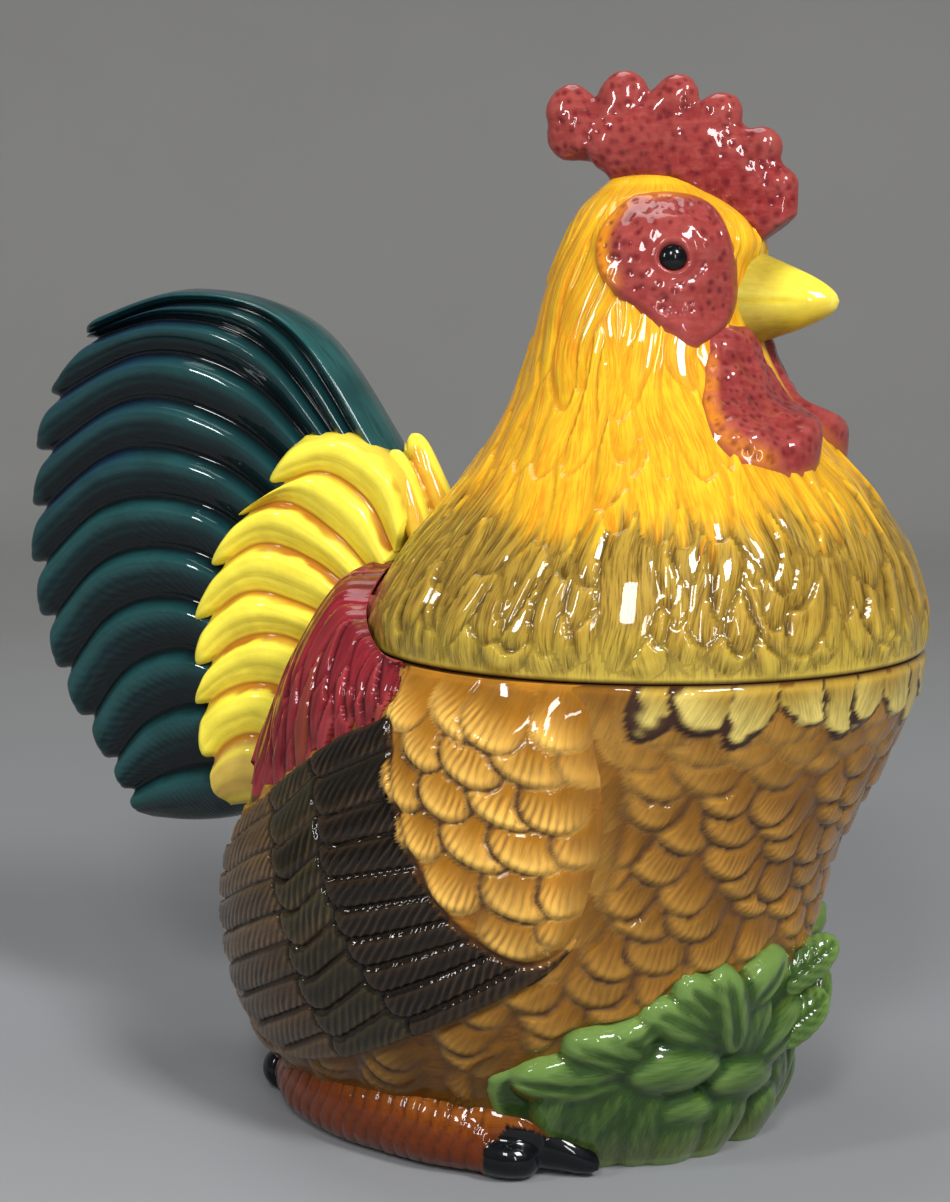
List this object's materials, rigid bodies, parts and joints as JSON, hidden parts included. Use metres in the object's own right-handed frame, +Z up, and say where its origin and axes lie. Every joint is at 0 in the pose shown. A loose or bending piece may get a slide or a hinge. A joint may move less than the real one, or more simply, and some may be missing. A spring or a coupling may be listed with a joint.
{
  "type": "rooster storage jar",
  "caption": "Glazed rooster-shaped storage jar: an oval vessel with moulded wings and fan tail, and a lift-off lid shaped as the neck and head.",
  "frame": {"origin": "centre of the flat underside that the jar rests on", "axes": "+Z up through the lid; -Y is the way the rooster faces; +X is the bird's left; x = 0 is the mirror plane"},
  "size_m": [0.191, 0.311, 0.32],
  "materials": {
    "jar_glaze": "gloss ochre glaze brushed orange-brown over moulded scale feathers",
    "tail_glaze": "deep teal gloss glaze with navy and black grooves",
    "covert_glaze": "bright yellow gloss glaze with orange-brown edge lines",
    "saddle_glaze": "red gloss glaze streaked with gold",
    "wing_glaze": "ochre and dark brown gloss glaze over barred feathers",
    "foot_glaze": "burnt orange gloss glaze with black claws",
    "leaf_glaze": "green gloss glaze with yellow-olive leaf edges",
    "lid_glaze": "yellow and orange gloss glaze fading to olive-brown at the rim",
    "comb_glaze": "raspberry red gloss glaze over a dimpled surface",
    "beak_glaze": "smooth yellow gloss glaze",
    "black_glaze": "black gloss glaze"
  },
  "bodies": {
    "jar": {"jar_body": "jar_glaze", "tail_fan": "tail_glaze", "tail_coverts_right": "covert_glaze", "tail_coverts_left": "covert_glaze", "saddle_right": "saddle_glaze", "saddle_left": "saddle_glaze", "wing_right": "wing_glaze", "wing_left": "wing_glaze", "foot_right": "foot_glaze", "foot_left": "foot_glaze", "foliage": "leaf_glaze"},
    "lid": {"lid_shell": "lid_glaze", "comb": "comb_glaze", "beak": "beak_glaze", "face_right": "comb_glaze", "face_left": "comb_glaze", "eye_right": "black_glaze", "eye_left": "black_glaze", "wattle_right": "comb_glaze", "wattle_left": "comb_glaze"}
  },
  "joints": [
    {"name": "lid_lift", "type": "slide", "parent": "jar", "child": "lid", "axis": [0, -0.342, 0.9397], "range_m": [0, 0.15]}
  ]
}
